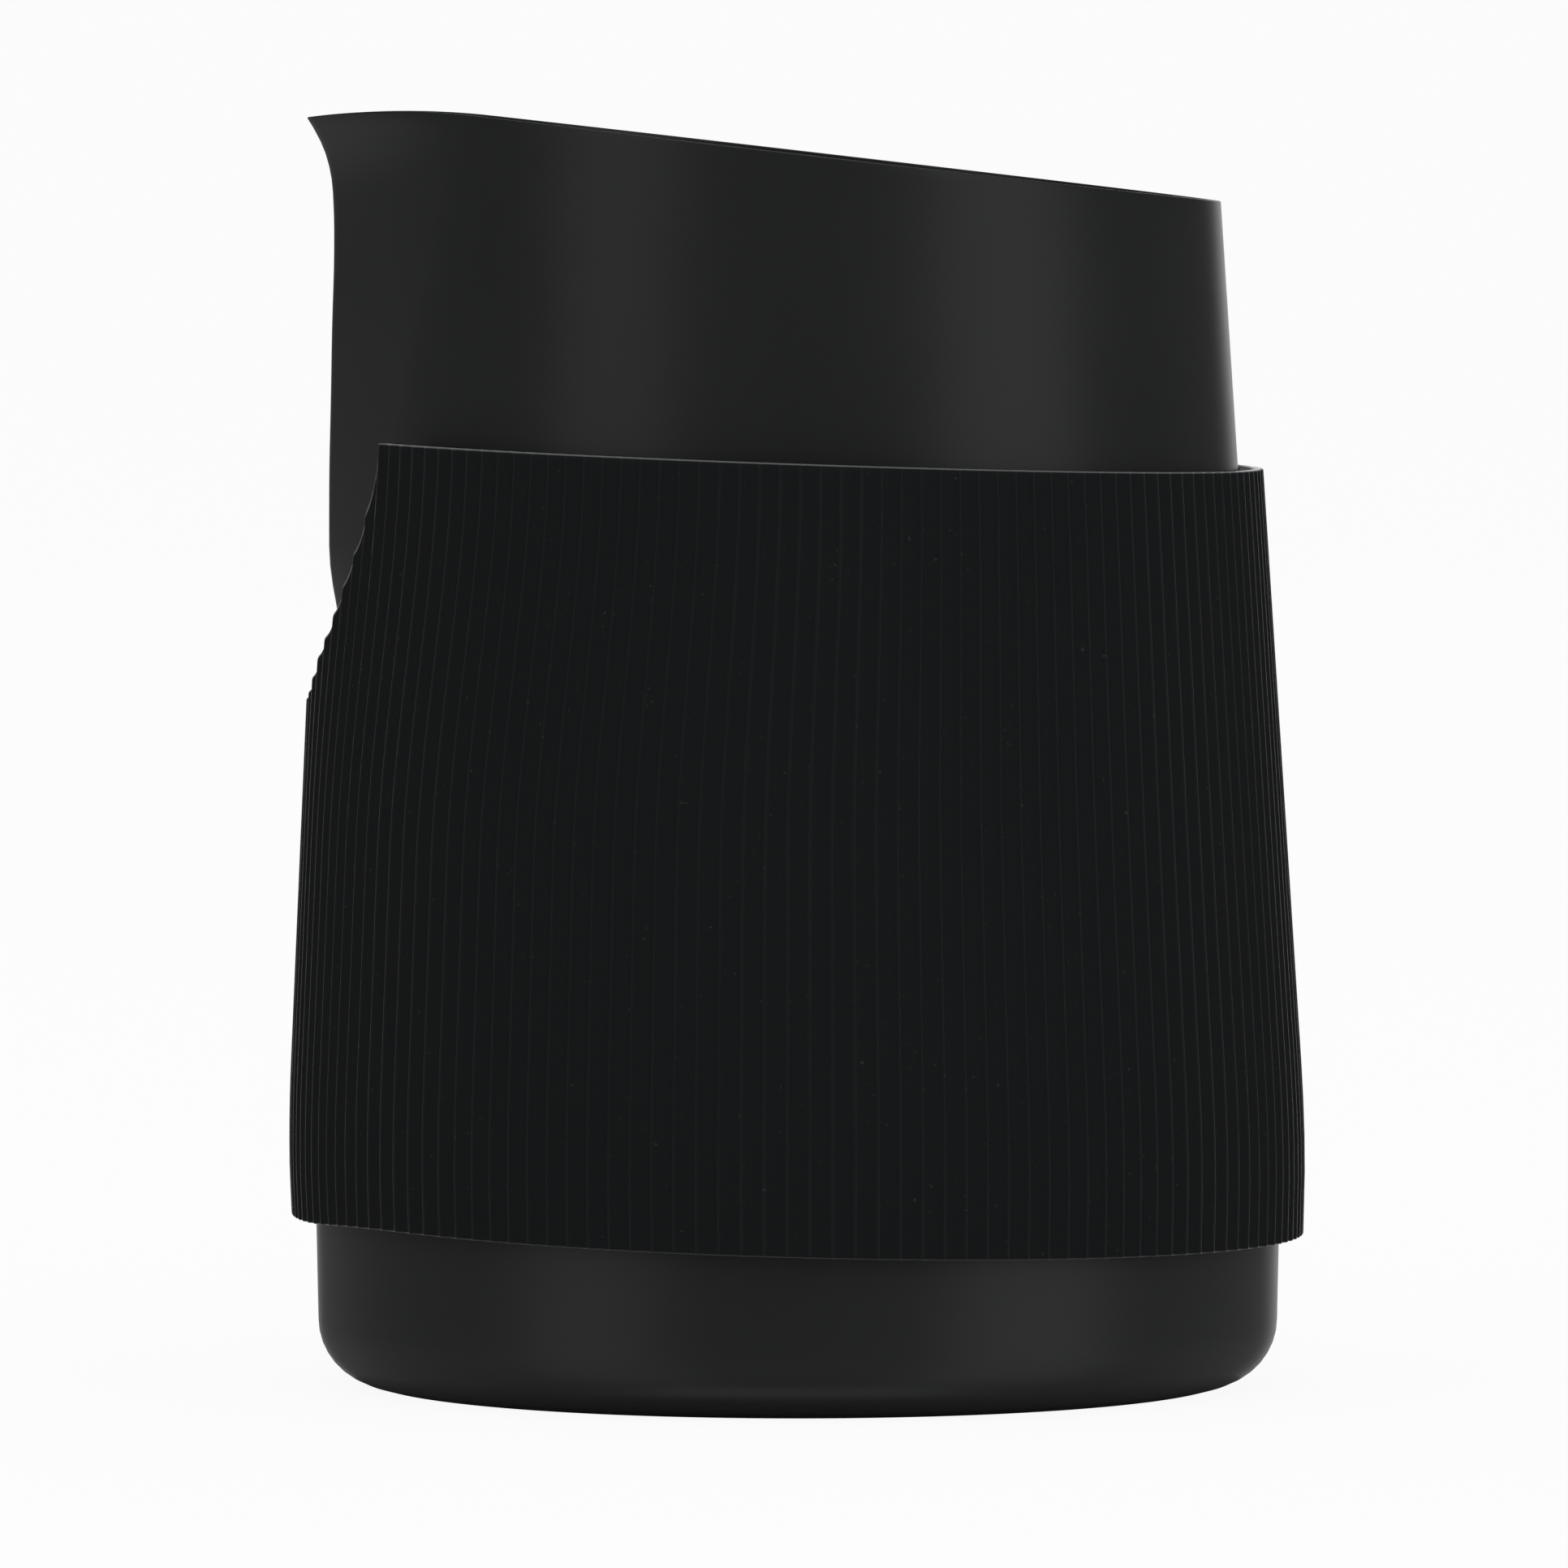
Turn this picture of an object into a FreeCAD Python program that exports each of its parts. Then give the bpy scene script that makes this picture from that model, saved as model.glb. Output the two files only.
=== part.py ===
import FreeCAD, Part
import math
import os
import Sketcher

# Handleless milk frothing pitcher: a drawn steel vessel with a pressed pouring spout and a slanted rim,
# and a silicone grip sleeve pulled over it. Millimetres, +Z up, the origin at the centre of the base,
# the spout towards -X.

doc = FreeCAD.newDocument("frothing_pitcher")
dims = doc.addObject("Spreadsheet::Sheet", "dims")

sizes = {
    # vessel: the round part
    "wall": 0.8,
    "baseRadius": 39.87,
    "cornerRadius": 5.4,
    "footWidth": 3.27,  # flat ring that it stands on, between the corner and the step up to the recess
    "recessDepth": 1.2,
    "recessRounding": 1.5,
    "bellyBulge": 0.41,
    "bellyHeight": 20.5,
    "bellyRounding": 150.0,
    "taper": 0.0657,  # how much the radius shrinks for each millimetre of height above the belly
    # vessel: the rim, seen from the side
    "rimHeight": 102.5,  # over the vessel's axis
    "rimSlope": 0.1156,  # rise for each millimetre towards the spout
    "lipOverhang": 1.31,  # how far past the cone the rim turns down towards the tip of the spout
    "lipSlope": 0.214,  # fall for each millimetre past that
    "lipRounding": 60.0,
    # vessel: the spout's level sections. Drop is how far a section lies under the rim's height, standoff
    # is how far its nose stands past the cone, nose is the nose's rounding, and crease is half the width
    # over which the spout runs into the cone. The tip's section lies a little above the whole rim.
    "rootDrop": 46.0,
    "rootStandoff": 0.02,
    "rootNose": 30.0,
    "rootCrease": 7.5,
    "chinDrop": 40.5,
    "chinStandoff": 0.42,
    "chinNose": 16.0,
    "chinCrease": 9.6,
    "ridgeDrop": 35.0,
    "ridgeStandoff": 1.66,
    "ridgeNose": 6.5,
    "ridgeCrease": 12.0,
    "middleDrop": 26.5,
    "middleStandoff": 2.36,
    "middleNose": 4.5,
    "middleCrease": 14.6,
    "upperDrop": 14.5,
    "upperStandoff": 2.9,
    "upperNose": 4.0,
    "upperCrease": 17.8,
    "neckDrop": 4.5,
    "neckStandoff": 3.4,
    "neckNose": 3.8,
    "neckCrease": 20.2,
    "flareDrop": 0.0,
    "flareStandoff": 4.45,
    "flareNose": 3.8,
    "flareCrease": 21.2,
    "tipAllowance": 0.815,
    "tipStandoff": 7.6,
    "tipNose": 4.2,
    "tipCrease": 22.2,
    # sleeve, in its own frame, whose axis leans towards the spout
    "sleeveGap": 0.35,
    "sleeveWall": 1.75,
    "sleeveLean": 0.63,  # degrees
    "sleeveTopDrop": 25.25,  # how far its top end lies under the rim, over its axis
    "sleeveTopSlope": 0.043,  # rise for each millimetre towards the spout
    "sleeveBottom": 13.6,
    "sleeveBottomSlope": 0.038,
    "sleeveEdge": 0.5,
    # the notch that leaves the spout free. Heights are over the spout's root
    "notchFloorRise": 0.5,
    "notchFloorHalf": 7.5,
    "notchFloorRounding": 7.0,
    "notchShoulderRise": 16.5,
    "notchShoulderClearance": 4.7,  # beside the crease at the spout's middle
    "notchShoulderRounding": 12.0,
    "notchMouthFlare": 2.0,
    # how far a cutting shape runs past what it cuts
    "beyond": 20.0,
}
for row, (alias, size) in enumerate(sizes.items(), 1):
    dims.set(f"A{row}", alias)
    dims.set(f"B{row}", str(size))
    dims.setAlias(f"B{row}", alias)
doc.recompute()


def newBody(name):
    body = doc.addObject("PartDesign::Body", name)
    body.Label = name
    return body


def newSketch(body, name, plane, height=None):
    # a sketch on one of the body's own planes, raised by an expression
    sketch = body.newObject("Sketcher::SketchObject", name)
    base = next(p for p in body.Origin.OriginFeatures if p.Role == plane)
    sketch.AttachmentSupport = (base, [""])
    sketch.MapMode = "FlatFace"
    if height:
        sketch.setExpression("AttachmentOffset.Base.z", height)
    return sketch


def constrain(sketch, name, expression, *definition):
    value = float(sketch.evalExpression(expression))
    index = sketch.addConstraint(Sketcher.Constraint(*definition, value))
    sketch.renameConstraint(index, name)
    sketch.setExpression(f"Constraints.{name}", expression)


def pinPoint(sketch, name, x, y, geometry, end):
    constrain(sketch, f"{name}X", x, "DistanceX", -1, 1, geometry, end)
    constrain(sketch, f"{name}Y", y, "DistanceY", -1, 1, geometry, end)


def drawOutline(sketch, corners):
    # a closed outline of straight sides. Each corner is (x, y) or (x, y, rounding), all expressions
    spots = [FreeCAD.Vector(*(float(sketch.evalExpression(c)) for c in corner[:2])) for corner in corners]
    count = len(corners)
    arrive, leave = [], []
    for i, corner in enumerate(corners):
        back = (spots[i - 1] - spots[i]).normalize()
        ahead = (spots[(i + 1) % count] - spots[i]).normalize()
        trim = 0
        if len(corner) == 3:
            trim = float(sketch.evalExpression(corner[2])) / math.tan(back.getAngle(ahead) / 2)
        arrive.append(spots[i] + back * trim)
        leave.append(spots[i] + ahead * trim)
    sides = [
        sketch.addGeometry(Part.LineSegment(leave[i], arrive[(i + 1) % count])) for i in range(count)
    ]
    for i, corner in enumerate(corners):
        before, after = sides[i - 1], sides[i]
        if len(corner) == 2:
            sketch.addConstraint(Sketcher.Constraint("Coincident", before, 2, after, 1))
            pinPoint(sketch, f"corner{i}", corner[0], corner[1], after, 1)
            continue
        # the corner that the two sides would make is a point of its own, and an arc rounds it off
        point = sketch.addGeometry(Part.Point(spots[i]), True)
        pinPoint(sketch, f"corner{i}", corner[0], corner[1], point, 1)
        sketch.addConstraint(Sketcher.Constraint("PointOnObject", point, 1, before))
        sketch.addConstraint(Sketcher.Constraint("PointOnObject", point, 1, after))
        back = (spots[i - 1] - spots[i]).normalize()
        ahead = (spots[(i + 1) % count] - spots[i]).normalize()
        inward = (back + ahead).normalize()
        radius = float(sketch.evalExpression(corner[2]))
        halfTurn = (arrive[i] - spots[i]).getAngle(inward)
        centre = spots[i] + inward * (radius / math.sin(halfTurn))
        ways = [arrive[i] - centre, leave[i] - centre]
        leftTurn = ways[0].cross(ways[1]).z > 0
        first, last = ways if leftTurn else ways[::-1]
        start, end = (math.atan2(way.y, way.x) for way in (first, last))
        circle = Part.Circle(centre, FreeCAD.Vector(0, 0, 1), radius)
        arc = sketch.addGeometry(Part.ArcOfCircle(circle, start, end))
        sketch.addConstraint(Sketcher.Constraint("Tangent", before, 2, arc, 1 if leftTurn else 2))
        sketch.addConstraint(Sketcher.Constraint("Tangent", arc, 2 if leftTurn else 1, after, 1))
        constrain(sketch, f"rounding{i}", corner[2], "Radius", arc)


def spin(body, kind, sketch):
    feature = body.newObject(kind, f"{sketch.Name}_spin")
    feature.Profile = sketch
    feature.ReferenceAxis = (sketch, ["V_Axis"])
    feature.Angle = 360
    doc.recompute()
    return feature


def cutThrough(body, sketch, **settings):
    # a pocket that must take something away
    before = body.Shape.Volume
    feature = body.newObject("PartDesign::Pocket", f"{sketch.Name}_cut")
    feature.Profile = sketch
    for name, value in settings.items():
        setattr(feature, name, value)
    doc.recompute()
    if not body.Shape.Volume < before:
        raise RuntimeError(f"{feature.Name} cuts nothing")
    return feature


def coneRadius(height):
    return f"(dims.baseRadius + dims.bellyBulge - dims.taper * ({height} - dims.bellyHeight))"


# the rim is straight as far as the lip, where it turns down
lipReach = f"({coneRadius('dims.rimHeight')} + dims.lipOverhang)"
lipHeight = f"(dims.rimHeight + dims.rimSlope * {lipReach})"


def stationHeight(station):
    if station == "tip":
        return f"({lipHeight} + dims.tipAllowance)"
    return f"(dims.rimHeight - dims.{station}Drop)"


# ---- the vessel

vessel = newBody("pitcher_body")


def vesselOutline(name, inset):
    # half of the round part's section, from the axis out along the pressed bottom and up to the spout's
    # root. The bottom's centre is stepped up at 45 degrees, so an inset moves that step's corners outwards.
    shift = f"{math.sqrt(2) - 1:.6f} * {inset}"
    step = "dims.baseRadius - dims.cornerRadius - dims.footWidth"
    belly = "dims.baseRadius + dims.bellyBulge"
    root = stationHeight("root")
    sketch = newSketch(vessel, name, "XZ_Plane")
    drawOutline(sketch, [
        ("0", f"dims.recessDepth + {inset}"),
        (f"{step} - dims.recessDepth + {shift}", f"dims.recessDepth + {inset}", "dims.recessRounding"),
        (f"{step} + {shift}", inset, "dims.recessRounding"),
        (f"dims.baseRadius - {inset}", inset, f"dims.cornerRadius - {inset}"),
        (f"{belly} - {inset}", "dims.bellyHeight", "dims.bellyRounding"),
        (f"{coneRadius(root)} - {inset}", root),
        ("0", root),
    ])
    return sketch


def mirrored(point):
    return FreeCAD.Vector(point.x, -point.y)


def spoutSection(station, name, inset):
    # a level section of the vessel at a station of the spout: the cone's arc, two flat flanks and the
    # nose's arc, which the flanks meet in a tangent
    height = stationHeight(station)
    cone = coneRadius(height)
    radius = f"{cone} - {inset}"
    nose = f"dims.{station}Nose - {inset}"
    noseCentre = f"dims.{station}Nose - {cone} - dims.{station}Standoff"
    crease = f"dims.{station}Crease * (1 - {inset} / {cone})"
    sketch = newSketch(vessel, name, "XY_Plane", height)
    bigRadius, noseRadius, noseX, creaseY = (
        float(sketch.evalExpression(e)) for e in (radius, nose, noseCentre, crease)
    )
    up = FreeCAD.Vector(0, 0, 1)
    meet = FreeCAD.Vector(-math.sqrt(bigRadius**2 - creaseY**2), creaseY)
    centre = FreeCAD.Vector(noseX, 0)
    out = meet - centre
    turn = math.atan2(out.y, out.x) + math.acos(noseRadius / out.Length)
    touch = centre + FreeCAD.Vector(math.cos(turn), math.sin(turn)) * noseRadius
    creaseTurn = math.atan2(meet.y, meet.x)
    around, ahead = Part.Circle(FreeCAD.Vector(), up, bigRadius), Part.Circle(centre, up, noseRadius)
    shell = sketch.addGeometry(Part.ArcOfCircle(around, -creaseTurn, creaseTurn))
    left = sketch.addGeometry(Part.LineSegment(meet, touch))
    tip = sketch.addGeometry(Part.ArcOfCircle(ahead, turn, 2 * math.pi - turn))
    right = sketch.addGeometry(Part.LineSegment(mirrored(touch), mirrored(meet)))
    for rule in [
        ("Coincident", shell, 3, -1, 1),
        ("PointOnObject", tip, 3, -1),
        ("Symmetric", shell, 1, shell, 2, -1),
        ("Coincident", shell, 2, left, 1),
        ("Tangent", left, 2, tip, 1),
        ("Tangent", tip, 2, right, 1),
        ("Coincident", right, 2, shell, 1),
    ]:
        sketch.addConstraint(Sketcher.Constraint(*rule))
    constrain(sketch, "coneRadius", radius, "Radius", shell)
    constrain(sketch, "noseRadius", nose, "Radius", tip)
    constrain(sketch, "noseCentre", noseCentre, "DistanceX", -1, 1, tip, 3)
    constrain(sketch, "crease", crease, "DistanceY", -1, 1, shell, 2)
    return sketch


stations = ["root", "chin", "ridge", "middle", "upper", "neck", "flare", "tip"]


def spoutLoft(kind, name, inset):
    sections = [spoutSection(s, f"{name}_{s}", inset) for s in stations]
    loft = vessel.newObject(kind, name)
    loft.Profile = sections[0]
    loft.Sections = sections[1:]
    doc.recompute()
    return loft


spin(vessel, "PartDesign::Revolution", vesselOutline("outside", "0"))
spoutLoft("PartDesign::AdditiveLoft", "spout_outside", "0")
spin(vessel, "PartDesign::Groove", vesselOutline("inside", "dims.wall"))
spoutLoft("PartDesign::SubtractiveLoft", "spout_inside", "dims.wall")

# everything above the slanted rim comes off
side = "(dims.baseRadius + dims.beyond)"
ceiling = f"{stationHeight('tip')} + dims.beyond"
rim = newSketch(vessel, "rim", "XZ_Plane")
drawOutline(rim, [
    (side, f"dims.rimHeight - dims.rimSlope * {side}"),
    (side, ceiling),
    (f"-{side}", ceiling),
    (f"-{side}", f"{lipHeight} - dims.lipSlope * ({side} - {lipReach})"),
    (f"-{lipReach}", lipHeight, "dims.lipRounding"),
])
cutThrough(vessel, rim, Type="ThroughAll", Midplane=True)

# ---- the sleeve

sleeve = newBody("grip_sleeve")
lean = "dims.sleeveLean * 1 deg"
# it leans about the middle of its bottom end
sleeve.Placement.Rotation = FreeCAD.Rotation(FreeCAD.Vector(0, -1, 0), sizes["sleeveLean"])
sleeve.setExpression("Placement.Rotation.Angle", "dims.sleeveLean")
sleeve.setExpression("Placement.Base.x", f"dims.sleeveBottom * sin({lean})")


def sleeveRadius(height, outset):
    # its own taper is less by the lean, which keeps it a gap off the back of the vessel all the way up
    return f"{coneRadius(height)} + tan({lean}) * ({height} - dims.sleeveBottom) + {outset}"


ring = newSketch(sleeve, "ring", "XZ_Plane")
gap, outer = "dims.sleeveGap", "dims.sleeveGap + dims.sleeveWall"
top = "(dims.rimHeight - dims.sleeveTopDrop)"
low = "dims.sleeveBottom - dims.sleeveBottomSlope * dims.baseRadius - 1"
high = f"({top} + dims.sleeveTopSlope * dims.baseRadius + 1)"
drawOutline(ring, [
    # under the belly the inside runs straight down, so that it slips over the belly
    (f"dims.baseRadius + dims.bellyBulge + {gap}", low),
    (f"dims.baseRadius + {outer}", low),
    (sleeveRadius("dims.bellyHeight", outer), "dims.bellyHeight", "dims.bellyRounding / 3"),
    (sleeveRadius(high, outer), high),
    (sleeveRadius(high, gap), high),
    (sleeveRadius("dims.bellyHeight", gap), "dims.bellyHeight", "dims.bellyRounding"),
])
spin(sleeve, "PartDesign::Revolution", ring)


def trimEnd(name, height, slope, far):
    # takes off what lies between a slanted line and a level one far past it
    sketch = newSketch(sleeve, name, "XZ_Plane")
    drawOutline(sketch, [
        (side, f"{height} - {slope} * {side}"),
        (side, far),
        (f"-{side}", far),
        (f"-{side}", f"{height} + {slope} * {side}"),
    ])
    cutThrough(sleeve, sketch, Type="ThroughAll", Midplane=True)


trimEnd("top_edge", top, "dims.sleeveTopSlope", f"{top} + dims.beyond")
trimEnd("bottom_edge", "dims.sleeveBottom", "dims.sleeveBottomSlope", "dims.sleeveBottom - dims.beyond")

notch = newSketch(sleeve, "notch", "YZ_Plane")
floorHeight = f"{stationHeight('root')} + dims.notchFloorRise"
shoulderHeight = f"{stationHeight('root')} + dims.notchShoulderRise"
shoulderHalf = "(dims.middleCrease + dims.notchShoulderClearance)"
mouthHeight = f"{top} + dims.beyond"
mouthHalf = f"({shoulderHalf} + dims.notchMouthFlare)"
drawOutline(notch, [
    ("-dims.notchFloorHalf", floorHeight, "dims.notchFloorRounding"),
    ("dims.notchFloorHalf", floorHeight, "dims.notchFloorRounding"),
    (shoulderHalf, shoulderHeight, "dims.notchShoulderRounding"),
    (mouthHalf, mouthHeight),
    (f"-{mouthHalf}", mouthHeight),
    (f"-{shoulderHalf}", shoulderHeight, "dims.notchShoulderRounding"),
])
notchCut = cutThrough(sleeve, notch, Type="ThroughAll", Midplane=False)

sleeveRounds = sleeve.newObject("PartDesign::Fillet", "sleeve_edges")
sleeveRounds.Base = (notchCut, [])
sleeveRounds.UseAllEdges = True
sleeveRounds.setExpression("Radius", "dims.sleeveEdge")

doc.recompute()
for obj in doc.Objects:
    if "Invalid" in obj.State or "Error" in obj.State:
        raise RuntimeError(f"{obj.Name} is {obj.State}")

os.makedirs("parts", exist_ok=True)
for body in (vessel, sleeve):
    shape = body.Shape
    if shape.isNull() or not shape.isValid():
        raise RuntimeError(f"{body.Label} has no valid shape")
    print(f"{body.Label}: {len(shape.Solids)} solid, {shape.Volume / 1000:.1f} cm3, {shape.BoundBox}")
    shape.exportStep(f"parts/{body.Label}.step")
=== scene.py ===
import bpy
import math
import numpy as np
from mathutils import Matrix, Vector


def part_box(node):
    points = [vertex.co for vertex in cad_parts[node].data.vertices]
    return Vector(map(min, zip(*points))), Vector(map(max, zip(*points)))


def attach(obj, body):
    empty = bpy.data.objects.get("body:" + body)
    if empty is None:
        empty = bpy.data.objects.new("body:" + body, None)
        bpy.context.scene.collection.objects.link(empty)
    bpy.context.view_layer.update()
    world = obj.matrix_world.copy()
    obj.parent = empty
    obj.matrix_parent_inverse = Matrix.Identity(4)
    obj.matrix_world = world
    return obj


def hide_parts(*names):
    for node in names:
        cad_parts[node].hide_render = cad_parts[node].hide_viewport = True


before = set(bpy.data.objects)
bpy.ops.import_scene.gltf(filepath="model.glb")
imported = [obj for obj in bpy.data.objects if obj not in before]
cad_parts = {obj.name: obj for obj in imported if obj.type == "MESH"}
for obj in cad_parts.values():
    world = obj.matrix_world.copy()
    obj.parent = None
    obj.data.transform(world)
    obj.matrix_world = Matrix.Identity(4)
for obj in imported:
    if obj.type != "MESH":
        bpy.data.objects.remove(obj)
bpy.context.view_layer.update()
mm = 0.001
mergeWithin = 0.00001  # points nearer than this, in metres, become one

# how wide and high the vessel is, and where the sleeve starts and ends, in millimetres
vesselWide, vesselTop = (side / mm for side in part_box("pitcher_body")[1][1:])
sleeveFoot, sleeveHead = (corner[2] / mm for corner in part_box("grip_sleeve"))
print("frame loaded", [round(size, 2) for size in (vesselWide, vesselTop, sleeveFoot, sleeveHead)])


def deselect():
    if bpy.context.object and bpy.context.object.mode != "OBJECT":
        bpy.ops.object.mode_set(mode="OBJECT")
    bpy.ops.object.select_all(action="DESELECT")


def smoothStep(x, low, high):
    x = np.clip((x - low) / (high - low), 0, 1)
    return x * x * (3 - 2 * x)


def curveThrough(knots, values, x):
    # a smooth line through a few knots, level where they turn back
    knots, values = np.array(knots, float), np.array(values, float)
    steps = np.diff(values) / np.diff(knots)
    slopes = np.concatenate([[steps[0]], (steps[:-1] + steps[1:]) / 2, [steps[-1]]])
    turning = np.concatenate([[False], steps[:-1] * steps[1:] <= 0, [False]])
    slopes[turning] = 0
    x = np.clip(x, knots[0], knots[-1])
    i = np.clip(np.searchsorted(knots, x, side="right") - 1, 0, len(steps) - 1)
    width = knots[i + 1] - knots[i]
    u = (x - knots[i]) / width
    return (
        values[i] * (1 + 2 * u) * (1 - u) ** 2
        + slopes[i] * width * u * (1 - u) ** 2
        + values[i + 1] * u * u * (3 - 2 * u)
        + slopes[i + 1] * width * u * u * (u - 1)
    )


def arcPoints(centre, radius, start, end, count):
    turns = np.radians(np.linspace(start, end, count))
    return [(centre[0] + radius * math.cos(a), centre[1] + radius * math.sin(a)) for a in turns]


def spinSection(name, section, steps, closed):
    # a section, drawn on the X side of the Z axis in millimetres, is spun once round the axis
    mesh = bpy.data.meshes.new(name)
    count = len(section)
    edges = [(i, i + 1) for i in range(count - 1)]
    if closed:
        edges.append((count - 1, 0))
    mesh.from_pydata([(r * mm, 0, z * mm) for r, z in section], edges, [])
    piece = bpy.data.objects.new(name, mesh)
    bpy.context.collection.objects.link(piece)
    deselect()
    bpy.context.view_layer.objects.active = piece
    piece.select_set(True)
    spin = piece.modifiers.new("spin", "SCREW")
    spin.steps = steps
    spin.render_steps = steps
    spin.use_merge_vertices = True
    spin.merge_threshold = mergeWithin
    bpy.ops.object.modifier_apply(modifier="spin")
    bpy.ops.object.mode_set(mode="EDIT")
    bpy.ops.mesh.select_all(action="SELECT")
    bpy.ops.mesh.remove_doubles(threshold=mergeWithin)
    bpy.ops.mesh.normals_make_consistent(inside=False)
    bpy.ops.object.mode_set(mode="OBJECT")
    bpy.ops.object.shade_smooth()
    return piece


def readPoints(piece):
    flat = np.empty(len(piece.data.vertices) * 3)
    piece.data.vertices.foreach_get("co", flat)
    return flat.reshape(-1, 3) / mm


def writePoints(piece, points):
    piece.data.vertices.foreach_set("co", (points * mm).ravel())
    piece.data.update()


# the vessel's sizes, in millimetres
vessel = {
    "columns": 384,
    "crowding": 0.72,  # how much closer the columns stand at the spout
    "wall": 0.8,
    "rimEdge": 0.13,  # rounding of the rim's cut edge
    "baseRadius": vesselWide - 0.302,
    "cornerRadius": 5.4,
    "recessRadius": 30.0,
    "recessDepth": 1.2,
    "bellyRadius": vesselWide + 0.108,
    "bellyHeight": 20.5,
    "bellyReach": 6.4,  # how far the belly's rounding runs up and down
    "taper": 0.0657,
    "rimHeight": vesselTop - 3.446,
    "rimSlope": 0.1156,
    "lipStart": 26.0,
    "lipRounding": 60.0,
    "spoutFrom": 57.0,
    "coatedInside": 2.0,  # how far the coat runs down the inside
    "carriedFrom": 34.0,  # radii between which the base starts to move out with the wall
    "carriedTo": 38.5,
}

# the spout's form up its height, in millimetres and degrees
spout = {
    "height": [56.5, 60, 63, 65.5, 67.5, 69.5, 72, 76, 82, 88, 94, 98, 100.5, 102.5, 104, 106.5],
    "standoff": [0, 0.15, 0.6, 1.22, 1.68, 1.95, 2.12, 2.36, 2.62, 2.9, 3.12, 3.42, 3.78, 4.42, 5.2, 6.9],
    "nose": [30, 20, 11, 7.5, 5.5, 4.8, 4.4, 4.2, 4.0, 3.8, 3.6, 3.5, 3.4, 3.4, 3.4, 3.4],
    "crease": [10, 12, 14, 16, 17.5, 19, 20.5, 23, 26.5, 29.5, 33, 35.3, 36.5, 37.4, 38, 39],
    "softness": 2.2,  # degrees to each side over which the crease is rounded
    "keptTo": 0.12,  # and the turns from the spout, in radians, between which this sets in
    "softFrom": 0.4,
}


def coneRadius(height):
    # a foot that opens a little and a straight taper meet in a long soft belly
    bulge = vessel["bellyRadius"] - vessel["baseRadius"]
    foot = vessel["baseRadius"] + bulge * height / vessel["bellyHeight"]
    cone = vessel["bellyRadius"] - vessel["taper"] * (height - vessel["bellyHeight"])
    reach = vessel["bellyReach"]
    off = np.clip(height - vessel["bellyHeight"], -reach, reach)
    kink = vessel["taper"] + bulge / vessel["bellyHeight"]
    return np.minimum(foot, cone) - kink * (reach - np.abs(off)) ** 2 / (4 * reach)


def sharpSection(turn, height, inset):
    # how far a level section lies from the axis: cone, flat flanks and a round nose. turn is from the spout
    cone = coneRadius(height) - inset
    standoff = curveThrough(spout["height"], spout["standoff"], height)
    nose = curveThrough(spout["height"], spout["nose"], height) - inset
    crease = np.radians(curveThrough(spout["height"], spout["crease"], height))
    centre = cone + standoff - nose
    meetX, meetY = cone * np.cos(crease), cone * np.sin(crease)
    away = np.hypot(meetX - centre, meetY)
    touch = np.arctan2(meetY, meetX - centre) - np.arccos(np.clip(nose / away, -1, 1))
    touchX, touchY = centre + nose * np.cos(touch), nose * np.sin(touch)
    turn = np.abs(turn)
    onNose = centre * np.cos(turn) + np.sqrt(np.maximum(nose**2 - (centre * np.sin(turn)) ** 2, 0))
    runX, runY = meetX - touchX, meetY - touchY
    across = runX * np.sin(turn) - runY * np.cos(turn)
    across = np.where(np.abs(across) < 1e-9, 1e-9, across)
    onFlank = (runX * touchY - runY * touchX) / across
    touchTurn = np.arctan2(touchY, touchX)
    section = np.where(turn < touchTurn, onNose, np.where(turn < crease, onFlank, cone))
    return np.where(height > spout["height"][0], section, cone)


def wallRadius(turn, height, inset):
    # the creases are softened by a mean over a few nearby turns, and the nose is kept
    soft = np.radians(spout["softness"]) * smoothStep(np.abs(turn), spout["keptTo"], spout["softFrom"])
    samples = [sharpSection(turn + soft * k, height, inset) for k in (-1.0, -0.6, -0.2, 0.2, 0.6, 1.0)]
    return sum(samples) / len(samples)


def rimHeight(x):
    lip = np.maximum(-x - vessel["lipStart"], 0)
    return vessel["rimHeight"] - vessel["rimSlope"] * x - lip**2 / (2 * vessel["lipRounding"])


def vesselSection():
    # from the middle of the underside out and up the outside, over the rim and down the inside
    wall, foot, corner, edge = (vessel[key] for key in ("wall", "baseRadius", "cornerRadius", "rimEdge"))
    step, depth = vessel["recessRadius"], vessel["recessDepth"]
    top, belly = vessel["rimHeight"], vessel["bellyHeight"]
    # rows up the wall, closer where the spout rises
    heights = np.concatenate([
        np.linspace(corner + 2, belly + 8, 8),
        np.linspace(belly + 12, vessel["spoutFrom"], 7),
        np.linspace(vessel["spoutFrom"] + 1.2, top - 9, 24),
        np.linspace(top - 8, top - vessel["coatedInside"], 7),
        [top - 0.9],
    ])
    # the underside is pressed in, and the edges of that step are eased
    section = [(r, depth) for r in (0, 8, 18, step - 1)]
    section += [(step, depth - 0.1), (step + 0.6, depth - 0.6), (step + depth, 0.1), (step + depth + 1, 0)]
    section += arcPoints((foot - corner, corner), corner, -90, 0, 10)
    section += [(foot, h) for h in heights]
    section += arcPoints((foot - edge, top - edge), edge, 0, 90, 4)
    section += arcPoints((foot - wall + edge, top - edge), edge, 90, 180, 4)
    section += [(foot - wall, h) for h in heights[::-1]]
    section += arcPoints((foot - corner, corner), corner - wall, 0, -90, 8)
    # the bottom's upper face follows the same step, a wall's thickness higher
    section += [(step + depth + 1.3, wall), (step + depth + 0.3, wall + 0.1)]
    section += [(step + 0.9, depth + wall - 0.6), (step + 0.3, depth + wall - 0.1)]
    section += [(r, depth + wall) for r in (step - 0.7, 18, 8, 0)]
    return section


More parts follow.
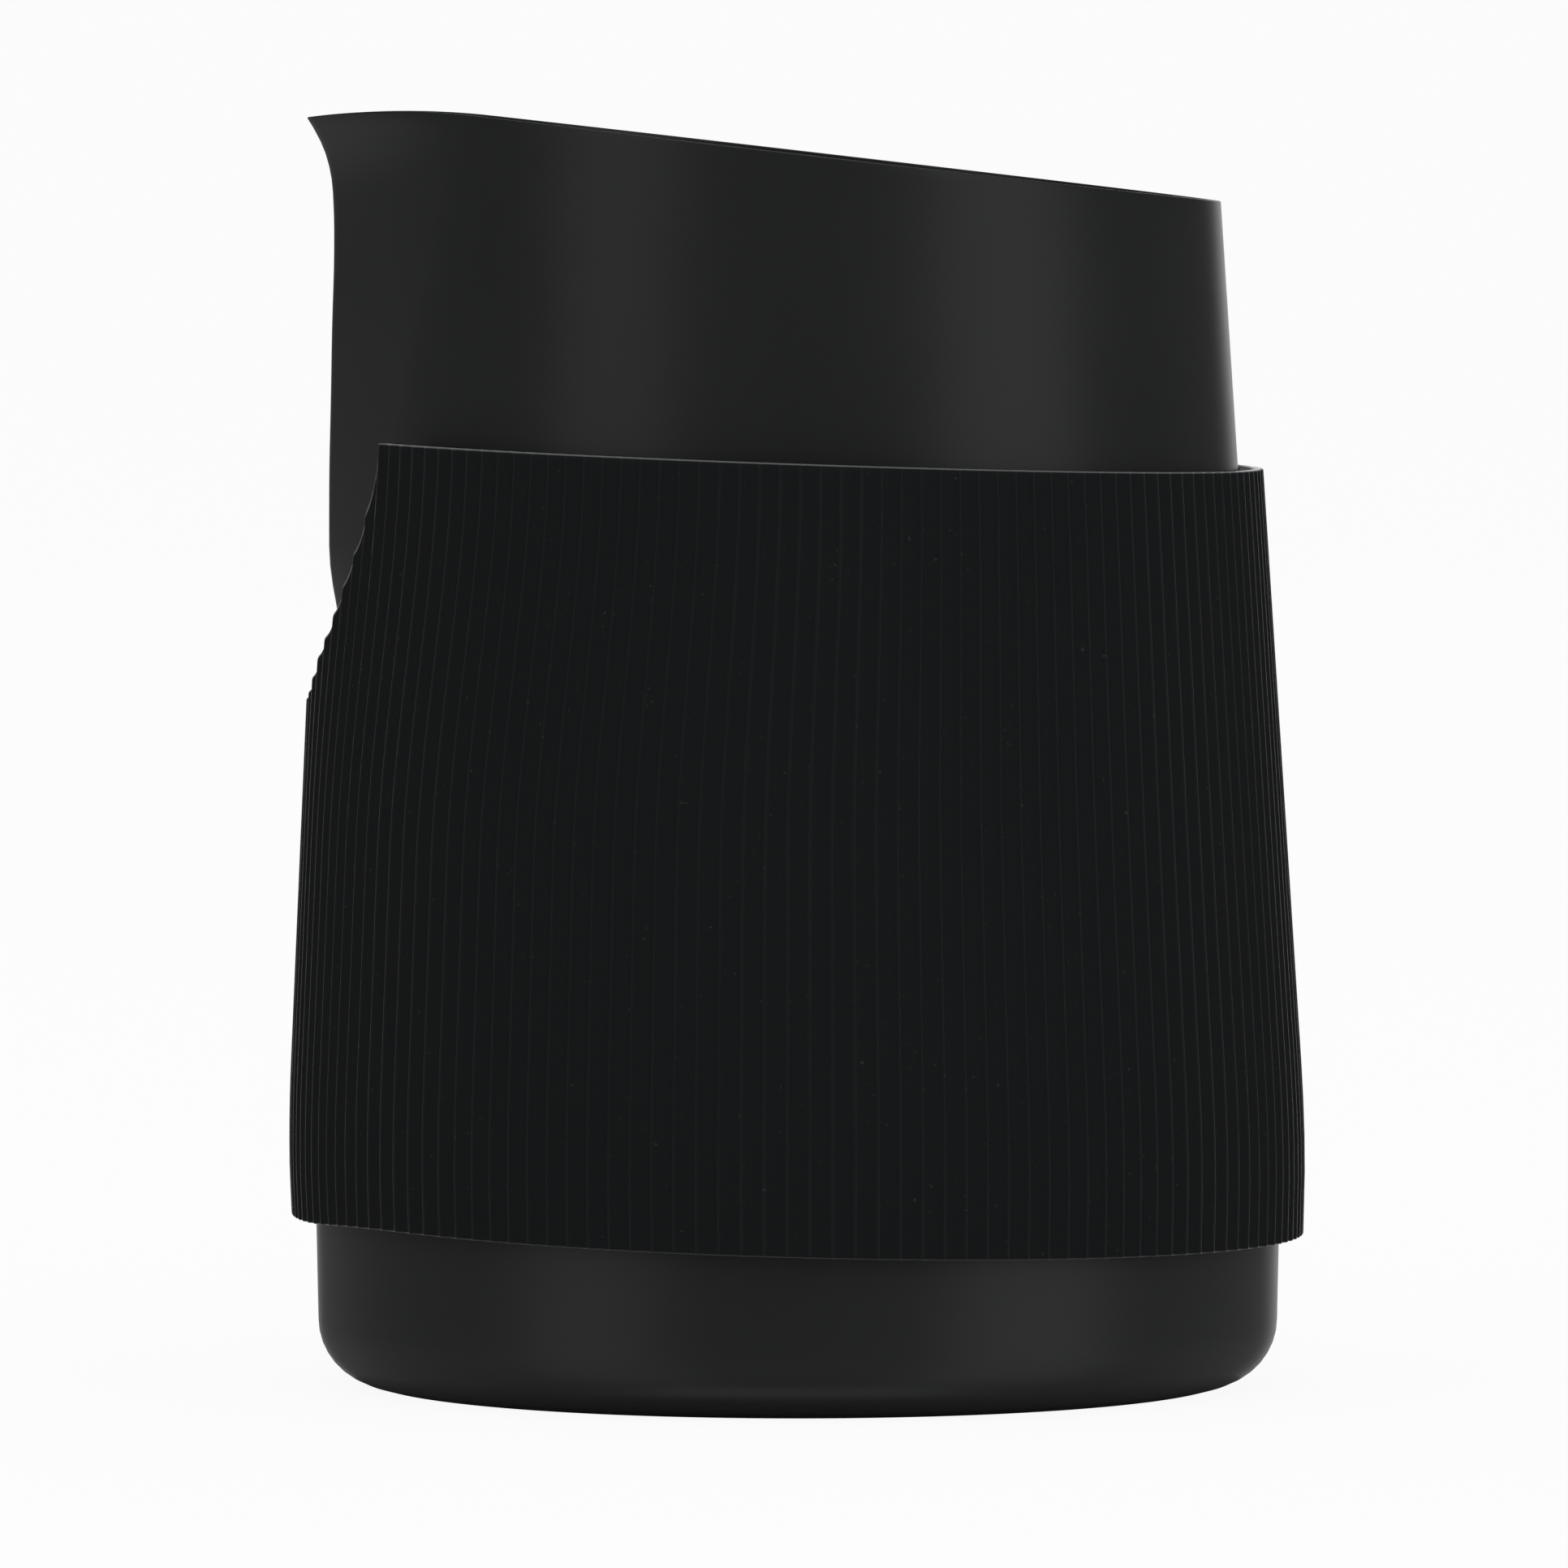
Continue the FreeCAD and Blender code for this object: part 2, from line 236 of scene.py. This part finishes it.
def facesInside(polygon, spots):
    # the inside of the wall faces the axis, and the inside of the bottom faces up
    middle, normal = spots.mean(axis=0), polygon.normal
    inwards = -(normal[0] * middle[0] + normal[1] * middle[1])
    return inwards + normal[2] * 10 > 0


def bareInside(piece):
    # bare steel starts a little way down the inside; above it the coat runs over the edge
    slack = 0.03
    points = readPoints(piece)
    bareTop = vessel["rimHeight"] - vessel["coatedInside"] + slack
    bareRadius = vessel["baseRadius"] - vessel["wall"] + slack
    for polygon in piece.data.polygons:
        spots = points[list(polygon.vertices)]
        radius = np.hypot(spots[:, 0], spots[:, 1])
        if spots[:, 2].max() <= bareTop and radius.max() < bareRadius and facesInside(polygon, spots):
            polygon.material_index = 1


def shapeVessel(piece):
    points = readPoints(piece)
    radius = np.hypot(points[:, 0], points[:, 1])
    height = points[:, 2]
    turn = np.arctan2(points[:, 1], -points[:, 0])
    turn = turn - vessel["crowding"] * np.sin(turn)
    inset = vessel["baseRadius"] - radius
    corner, top, start = vessel["cornerRadius"], vessel["rimHeight"], vessel["spoutFrom"]
    onWall = height >= corner - 1e-6
    final, shaped = height, radius
    # the rim's height depends on the wall's reach and the other way round, so it is found in rounds
    for _ in range(6):
        lift = (rimHeight(-shaped * np.cos(turn)) - start) / (top - start)
        final = np.where(height > start, start + (height - start) * lift, height)
        shaped = np.where(onWall, wallRadius(turn, final, inset), radius)
    # the rounded corner is carried out with the wall that stands on it
    out = wallRadius(turn, np.full_like(turn, corner), 0) - vessel["baseRadius"]
    carried = out * smoothStep(radius, vessel["carriedFrom"], vessel["carriedTo"])
    shaped = np.where(onWall, shaped, radius + carried)
    writePoints(piece, np.stack([-shaped * np.cos(turn), shaped * np.sin(turn), final], 1))


def makeVessel():
    piece = spinSection("vessel_shell", vesselSection(), vessel["columns"], closed=False)
    bareInside(piece)
    shapeVessel(piece)
    return piece


# the sleeve's sizes, in millimetres
sleeve = {
    "ribs": 144,
    "perRib": 10,  # columns to a rib
    "ribPhase": 0.5,  # how far the first rib stands from the back, in ribs
    "ribReach": [0.03, 0.09, 0.18, 0.38, 0.7],  # how far half a rib's columns stand from its crest
    "ribDepth": [0.0, 0.025, 0.075, 0.165, 0.22],  # how deep they lie
    "ribPolish": [1.0, 0.7, 0.0, 0.0, 0.0],  # and how they shine
    "polishDepth": 0.3,  # deeper in the wall nothing shines but the cut edges
    "endHighlight": [0.8, 0.3],  # how strong the painted highlight on the cut edge is at the top and the bottom
    "gap": 0.12,
    "wall": 1.98,
    "edge": 0.12,  # rounding of the cut edges
    "ends": 2.5,  # what keeps its size at each end when the height is fitted
    "steepest": 6,  # the most that the top end is drawn out by
    "tubeRadius": 40.0,  # the straight tube that it is shaped from
    "tubeHeight": 64.0,
    "top": sleeveHead - 0.754,
    "topSlope": 0.035,
    "bottom": sleeveFoot + 1.152,
    "bottomSlope": 0.027,
    "bottomDip": 0.65,  # lowest under the spout, at dipX and dipWidth wide
    "dipX": -42.3,
    "dipWidth": 4.5,
    "standFrom": 14.0,  # above this it stands off the vessel at the front, more and more
    "standSlope": 0.0215,
    "footStraight": 16.0,  # it doesn't follow the vessel below this height
    "footFrom": 19.0,  # and its foot draws in between these heights
    "footTo": 11.0,
    "footDrawn": 0.13,
    "spread": 4.7,  # degrees that the ribs beside the notch are spread by
    "spreadFade": 3.4,  # how fast that dies away round the sleeve
    "spreadStart": 0.3,  # and the turn, in radians, over which it sets in
    "spreadFrom": 45.0,  # and the heights between which it sets in
    "spreadTo": 77.0,
}

# the notch's outline: half its width, and the height of its edge there
notch = {
    "half": [0, 4.0, 7.0, 9.6, 12.0, 14.2, 16.2, 17.8, 19.1, 19.9, 20.4],
    "height": [57.0, 57.5, 59.2, 61.3, 63.2, 65.6, 68.4, 71.0, 74.0, 77.2, 79.6],
}


def sleeveRadius(turn, height):
    # it hugs the vessel at the back, and stands off it more and more towards the notch
    stand = sleeve["standSlope"] * np.maximum(height - sleeve["standFrom"], 0) * (1 + np.cos(turn)) / 2
    foot = smoothStep(height, sleeve["footFrom"], sleeve["footTo"]) * sleeve["footDrawn"]
    inside = coneRadius(np.maximum(height, sleeve["footStraight"])) + sleeve["gap"]
    return inside + sleeve["wall"] + stand - foot


def spreadTurn(turn, height):
    near = np.maximum(np.cos(turn / 2), 0) ** sleeve["spreadFade"]
    near = near * smoothStep(np.abs(turn), 0, sleeve["spreadStart"])
    near = near * smoothStep(height, sleeve["spreadFrom"], sleeve["spreadTo"])
    return turn + np.sign(turn) * np.radians(sleeve["spread"]) * near


def sleeveTop(turn):
    # the cut's height depends on the sleeve's reach there, so it is closed in on in rounds
    height = np.full_like(turn, sleeve["top"])
    for _ in range(14):
        real = spreadTurn(turn, height)
        radius = sleeveRadius(real, height)
        level = sleeve["top"] + sleeve["topSlope"] * radius * np.cos(real)
        across = np.abs(radius * np.sin(real))
        cut = curveThrough(notch["half"], notch["height"], across)
        inNotch = (across < notch["half"][-1]) & (np.cos(real) > 0)
        height += 0.6 * (np.where(inNotch, np.minimum(cut, level), level) - height)
    return height


def sleeveBottom(turn):
    x = -(vessel["bellyRadius"] + sleeve["wall"]) * np.cos(turn)
    dip = sleeve["bottomDip"] * np.exp(-(((x - sleeve["dipX"]) / sleeve["dipWidth"]) ** 2))
    return sleeve["bottom"] - sleeve["bottomSlope"] * x - dip


def sleeveSection():
    # once round the tube's wall: up the outside, over the top, down the inside and back below
    outer, high, wall, edge = (sleeve[key] for key in ("tubeRadius", "tubeHeight", "wall", "edge"))
    inner, middle = outer - wall, outer - wall / 2
    rows = np.concatenate([[0.5], np.linspace(2.2, high - 2.2, 21), [high - 0.5]])
    section = [(outer, h) for h in rows]
    section += arcPoints((outer - edge, high - edge), edge, 0, 90, 4)
    section += [(middle, high)]
    section += arcPoints((inner + edge, high - edge), edge, 90, 180, 3)
    section += [(inner, h) for h in rows[::-4]]
    section += arcPoints((inner + edge, edge), edge, 180, 270, 3)
    section += [(middle, 0.0)]
    section += arcPoints((outer - edge, edge), edge, 270, 360, 4)
    return section


def mirrored(half):
    return np.concatenate([half, half[::-1]])


def makeSleeve():
    columns = sleeve["ribs"] * sleeve["perRib"]
    piece = spinSection("sleeve_ring", sleeveSection(), columns, closed=True)
    points = readPoints(piece)
    tall = points[:, 2]
    depth = sleeve["tubeRadius"] - np.hypot(points[:, 0], points[:, 1])
    turn = np.arctan2(points[:, 1], -points[:, 0])
    # columns crowd at each rib's narrow crest, and the flutes between are hollow
    column = np.round((turn / (2 * math.pi) + 0.5) * columns).astype(int) % columns
    rib, place = column // sleeve["perRib"], column % sleeve["perRib"]
    around = vessel["bellyRadius"] + sleeve["wall"]
    pitch = 2 * math.pi * around / sleeve["ribs"]
    reach = np.array(sleeve["ribReach"])
    shift = np.concatenate([reach, pitch - reach[::-1]])[place]
    groove = mirrored(sleeve["ribDepth"])[place]
    turn = ((rib + sleeve["ribPhase"]) * pitch + shift) / around - math.pi
    # the height of each column is fitted to its two cuts, and the ends' roundings keep their size,
    # but are drawn out where the cut is steep
    ends, high = sleeve["ends"], sleeve["tubeHeight"]
    top, bottom = sleeveTop(turn), sleeveBottom(turn)
    beside = pitch / around / 2
    rise = np.minimum(np.abs(sleeveTop(turn + beside) - top), np.abs(sleeveTop(turn - beside) - top))
    slope = rise / pitch * 2
    steepness = np.minimum(np.hypot(slope, 1) * (1 + 1.2 * np.minimum(slope, 1)), sleeve["steepest"])
    fitted = (top - bottom - (1 + steepness) * ends) / (high - 2 * ends)
    height = np.where(tall < ends, bottom + tall, bottom + ends + (tall - ends) * fitted)
    height = np.where(tall > high - ends, top - (high - tall) * steepness, height)
    real = spreadTurn(turn, height)
    fade = np.clip(1 - depth / sleeve["wall"], 0, 1) ** 1.5
    radius = sleeveRadius(real, height) - depth - groove * fade
    writePoints(piece, np.stack([-radius * np.cos(real), radius * np.sin(real), height], 1))
    # what stands out is rubbed smooth: the crests, and the edges of the two ends; the cut edges also get a
    # painted highlight, a paler colour, most where a cut is steep
    polish = mirrored(sleeve["ribPolish"])[place] * (depth < sleeve["polishDepth"])
    slack = 0.01
    onEdge = (depth > slack) & (depth < sleeve["edge"] + slack)
    # painted highlight: how much paler each cut edge is drawn, more at the top end and where the cut is
    # steep
    paintedHighlight = onEdge * np.where(tall > high / 2, *sleeve["endHighlight"]) * np.minimum(0.8 + steepness / 5, 1.5)
    for title, amount in (("polish", np.maximum(polish, onEdge)), ("paintedHighlight", paintedHighlight)):
        layer = piece.data.attributes.new(title, "FLOAT", "POINT")
        layer.data.foreach_set("value", amount)
    return piece


def newMaterial(name):
    material = bpy.data.materials.new(name)
    material.use_nodes = True
    tree = material.node_tree
    return material, tree, tree.nodes["Principled BSDF"], tree.nodes.new("ShaderNodeTexCoord")


def addNoise(tree, source, scale, detail, stretch=(1, 1, 1)):
    mapping = tree.nodes.new("ShaderNodeMapping")
    mapping.inputs["Scale"].default_value = stretch
    tree.links.new(source.outputs["Object"], mapping.inputs["Vector"])
    noise = tree.nodes.new("ShaderNodeTexNoise")
    noise.inputs["Scale"].default_value = scale
    noise.inputs["Detail"].default_value = detail
    tree.links.new(mapping.outputs["Vector"], noise.inputs["Vector"])
    return noise


def addRamp(tree, noise, stops):
    ramp = tree.nodes.new("ShaderNodeValToRGB")
    first, last = ramp.color_ramp.elements
    (first.position, first.color), (last.position, last.color) = stops
    tree.links.new(noise.outputs["Fac"], ramp.inputs["Fac"])
    return ramp.outputs["Color"]


def addBump(tree, noise, shader, strength, distance):
    bump = tree.nodes.new("ShaderNodeBump")
    bump.inputs["Strength"].default_value = strength
    bump.inputs["Distance"].default_value = distance
    tree.links.new(noise.outputs["Fac"], bump.inputs["Height"])
    tree.links.new(bump.outputs["Normal"], shader.inputs["Normal"])


def addAttribute(tree, name):
    node = tree.nodes.new("ShaderNodeAttribute")
    node.attribute_name = name
    return node.outputs["Fac"]


def tone(red, green, blue):
    return (red, green, blue, 1)


def grey(level, blue=1.0):
    return tone(level, level * (1 + (blue - 1) * 0.5), level * blue)


coat = {
    "colours": [(0.35, grey(0.0140, 1.12)), (0.65, grey(0.0165, 1.12))],
    "roughness": [(0.3, grey(0.33)), (0.7, grey(0.38))],
    "specular": 0.5,
    "cloudScale": 35,  # the larger, the finer
    "grainScale": 4200,
    "bumpStrength": 0.12,
    "bumpDistance": 0.00004,
}


def blackCoat():
    material, tree, shader, source = newMaterial("black_powder_coat")
    grain = addNoise(tree, source, coat["grainScale"], 3)
    cloud = addNoise(tree, source, coat["cloudScale"], 4)
    tree.links.new(addRamp(tree, cloud, coat["colours"]), shader.inputs["Base Color"])
    tree.links.new(addRamp(tree, cloud, coat["roughness"]), shader.inputs["Roughness"])
    shader.inputs["Specular IOR Level"].default_value = coat["specular"]
    addBump(tree, grain, shader, coat["bumpStrength"], coat["bumpDistance"])
    return material


steel = {
    "colours": [(0.3, tone(0.50, 0.50, 0.49)), (0.7, tone(0.60, 0.60, 0.585))],
    "roughness": [(0.3, grey(0.26)), (0.7, grey(0.36))],
    "brushScale": 60,
    "brushStretch": (1, 1, 45),  # brush lines run level
    "bumpStrength": 0.1,
    "bumpDistance": 0.00005,
}


def bareSteel():
    material, tree, shader, source = newMaterial("satin_steel")
    brushed = addNoise(tree, source, steel["brushScale"], 5, steel["brushStretch"])
    tree.links.new(addRamp(tree, brushed, steel["colours"]), shader.inputs["Base Color"])
    tree.links.new(addRamp(tree, brushed, steel["roughness"]), shader.inputs["Roughness"])
    shader.inputs["Metallic"].default_value = 1.0
    addBump(tree, brushed, shader, steel["bumpStrength"], steel["bumpDistance"])
    return material


silicone = {
    "colours": [(0.74, grey(0.0145, 1.12)), (0.82, grey(0.04))],  # plain, and specks of dust
    # painted highlight: the pale colour that the cut edges are drawn in
    "highlightColour": grey(0.16, 1.03),
    "roughness": [(0.3, grey(0.50)), (0.7, grey(0.58))],
    "specular": 0.02,
    "coatIor": 1.2,
    "coatRoughness": 0.15,
    "sheenRoughness": 0.25,
    "dustScale": 2400,
    "grainScale": 2600,
    "bumpStrength": 0.15,
    "bumpDistance": 0.00005,
}


def blackSilicone():
    material, tree, shader, source = newMaterial("black_silicone")
    grain = addNoise(tree, source, silicone["grainScale"], 4)
    dust = addNoise(tree, source, silicone["dustScale"], 1)
    # the cut edges are painted pale: a painted highlight along them
    pale = tree.nodes.new("ShaderNodeMix")
    pale.data_type = "RGBA"
    tree.links.new(addAttribute(tree, "paintedHighlight"), pale.inputs["Factor"])
    tree.links.new(addRamp(tree, dust, silicone["colours"]), pale.inputs["A"])
    pale.inputs["B"].default_value = silicone["highlightColour"]
    tree.links.new(pale.outputs["Result"], shader.inputs["Base Color"])
    tree.links.new(addRamp(tree, grain, silicone["roughness"]), shader.inputs["Roughness"])
    shader.inputs["Specular IOR Level"].default_value = silicone["specular"]
    # crests and edges shine
    polish = addAttribute(tree, "polish")
    tree.links.new(polish, shader.inputs["Coat Weight"])
    tree.links.new(polish, shader.inputs["Sheen Weight"])
    shader.inputs["Coat IOR"].default_value = silicone["coatIor"]
    shader.inputs["Coat Roughness"].default_value = silicone["coatRoughness"]
    shader.inputs["Sheen Roughness"].default_value = silicone["sheenRoughness"]
    addBump(tree, grain, shader, silicone["bumpStrength"], silicone["bumpDistance"])
    return material


camera = {
    "distance": 1.225,
    "height": 0.1078,
    "aimX": -0.00115,
    "aimZ": 0.0499,
    "lens": 338.0,
    "sensor": 36,
}


def makeCamera():
    place = Vector((camera["aimX"], -camera["distance"], camera["height"]))
    aim = Vector((camera["aimX"], 0, camera["aimZ"]))
    turned = (aim - place).to_track_quat("-Z", "Y").to_euler()
    bpy.ops.object.camera_add(location=place, rotation=turned)
    lens = bpy.context.object.data
    lens.lens = camera["lens"]
    lens.sensor_width = camera["sensor"]
    bpy.context.scene.camera = bpy.context.object


stage = {
    "floorSize": 12,
    "floorShade": 0.85,
    "floorMirror": 0.6,
    "floorRoughness": 0.08,
    "floorWhiteness": 0.93,  # how much of plain white the camera sees on the floor, over its shading
    "plain": 0.62,  # the world's strength as plain light
    "sides": 0.08,  # and as it mirrors in the object, around it
    "behind": 1.6,  # and behind it, where the white background is
    "behindWay": (0.07, 0.9975, 0),  # the direction of the background's middle
    "behindFrom": 0.93,  # cosine of the angle at which the background starts
    "behindTo": 0.983,
    "backdrop": 0.967,  # and as the camera sees it, level with the far end of the floor
}


def feed(tree, socket, source):
    # a plain number is set on the socket, and another node's output is linked to it
    if isinstance(source, (int, float)):
        socket.default_value = source
    else:
        tree.links.new(source, socket)


def makeFloor():
    deselect()
    bpy.ops.mesh.primitive_plane_add(size=stage["floorSize"], location=(0, 0, 0))
    floor = bpy.context.object
    floor.name = "floor"
    material = bpy.data.materials.new("pale_floor")
    material.use_nodes = True
    tree = material.node_tree
    shader = tree.nodes["Principled BSDF"]
    shader.inputs["Base Color"].default_value = grey(stage["floorShade"])
    shader.inputs["Roughness"].default_value = stage["floorRoughness"]
    shader.inputs["Metallic"].default_value = stage["floorMirror"]
    # the camera sees it as matt and nearly white, and the object mirrors it as polished
    matt = tree.nodes.new("ShaderNodeBsdfDiffuse")
    matt.inputs["Color"].default_value = grey(stage["floorShade"])
    white = tree.nodes.new("ShaderNodeEmission")
    path = tree.nodes.new("ShaderNodeLightPath")
    seen = tree.nodes.new("ShaderNodeMixShader")
    mix = tree.nodes.new("ShaderNodeMixShader")
    for mixer, share, first, second in (
        (seen, stage["floorWhiteness"], matt.outputs["BSDF"], white.outputs["Emission"]),
        (mix, path.outputs["Is Camera Ray"], shader.outputs["BSDF"], seen.outputs["Shader"]),
    ):
        feed(tree, mixer.inputs["Fac"], share)
        tree.links.new(first, mixer.inputs[1])
        tree.links.new(second, mixer.inputs[2])
    tree.links.new(mix.outputs["Shader"], tree.nodes["Material Output"].inputs["Surface"])
    floor.data.materials.append(material)


def makeWorld():
    world = bpy.data.worlds.new("studio")
    bpy.context.scene.world = world
    world.use_nodes = True
    tree = world.node_tree
    # mirrored in the object: dim all round, and white in the direction of the background
    way = tree.nodes.new("ShaderNodeTexCoord")
    ahead = tree.nodes.new("ShaderNodeVectorMath")
    ahead.operation = "DOT_PRODUCT"
    ahead.inputs[1].default_value = stage["behindWay"]
    tree.links.new(way.outputs["Generated"], ahead.inputs[0])
    patch = tree.nodes.new("ShaderNodeMapRange")
    patch.interpolation_type = "SMOOTHSTEP"
    for socket, key in (
        ("From Min", "behindFrom"),
        ("From Max", "behindTo"),
        ("To Min", "sides"),
        ("To Max", "behind"),
    ):
        patch.inputs[socket].default_value = stage[key]
    tree.links.new(ahead.outputs["Value"], patch.inputs["Value"])
    path = tree.nodes.new("ShaderNodeLightPath")
    inGloss = tree.nodes.new("ShaderNodeMath")
    inGloss.operation = "MAXIMUM"
    tree.links.new(path.outputs["Is Glossy Ray"], inGloss.inputs[0])
    tree.links.new(path.outputs["Is Transmission Ray"], inGloss.inputs[1])
    strength = stage["plain"]
    for chosen, other in (
        (inGloss.outputs["Value"], patch.outputs["Result"]),
        (path.outputs["Is Camera Ray"], stage["backdrop"]),
    ):
        choice = tree.nodes.new("ShaderNodeMix")
        tree.links.new(chosen, choice.inputs["Factor"])
        feed(tree, choice.inputs["A"], strength)
        feed(tree, choice.inputs["B"], other)
        strength = choice.outputs["Result"]
    back = tree.nodes["Background"]
    back.inputs["Color"].default_value = (1, 1, 1, 1)
    tree.links.new(strength, back.inputs["Strength"])


lampMiddle = (0, 0, 0.055)  # what the panels are turned to
lamps = {
    "left_panel": {
        "azimuth": -50, "elevation": 24, "distance": 1.6, "width": 1.0, "height": 1.5, "glow": 0.4,
    },
    "right_panel": {
        "azimuth": 57, "elevation": 24, "distance": 1.6, "width": 1.2, "height": 1.5, "glow": 0.53,
    },
    "top_panel": {
        "azimuth": 0, "elevation": 86, "distance": 1.5, "width": 1.4, "height": 1.4, "glow": 0.7,
    },
}


def makeLamps():
    for name, lamp in lamps.items():
        azimuth, elevation = math.radians(lamp["azimuth"]), math.radians(lamp["elevation"])
        way = Vector((
            math.sin(azimuth) * math.cos(elevation),
            -math.cos(azimuth) * math.cos(elevation),
            math.sin(elevation),
        ))
        place = Vector(lampMiddle) + way * lamp["distance"]
        turned = way.to_track_quat("Z", "Y").to_euler()
        bpy.ops.object.light_add(type="AREA", location=place, rotation=turned)
        light = bpy.context.object
        light.name = name
        light.visible_camera = False
        light.data.shape = "RECTANGLE"
        light.data.size = lamp["width"]
        light.data.size_y = lamp["height"]
        light.data.energy = lamp["glow"] * math.pi * lamp["width"] * lamp["height"]


bpy.context.scene.view_settings.view_transform = "Standard"
makeCamera()
makeFloor()
makeWorld()
makeLamps()
print("stage set")

shell = makeVessel()
shell.data.materials.append(blackCoat())
shell.data.materials.append(bareSteel())
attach(shell, "pitcher")
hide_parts("pitcher_body")
print("vessel made", len(shell.data.polygons))

ring = makeSleeve()
ring.data.materials.append(blackSilicone())
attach(ring, "sleeve")
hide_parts("grip_sleeve")
print("sleeve made", len(ring.data.polygons))
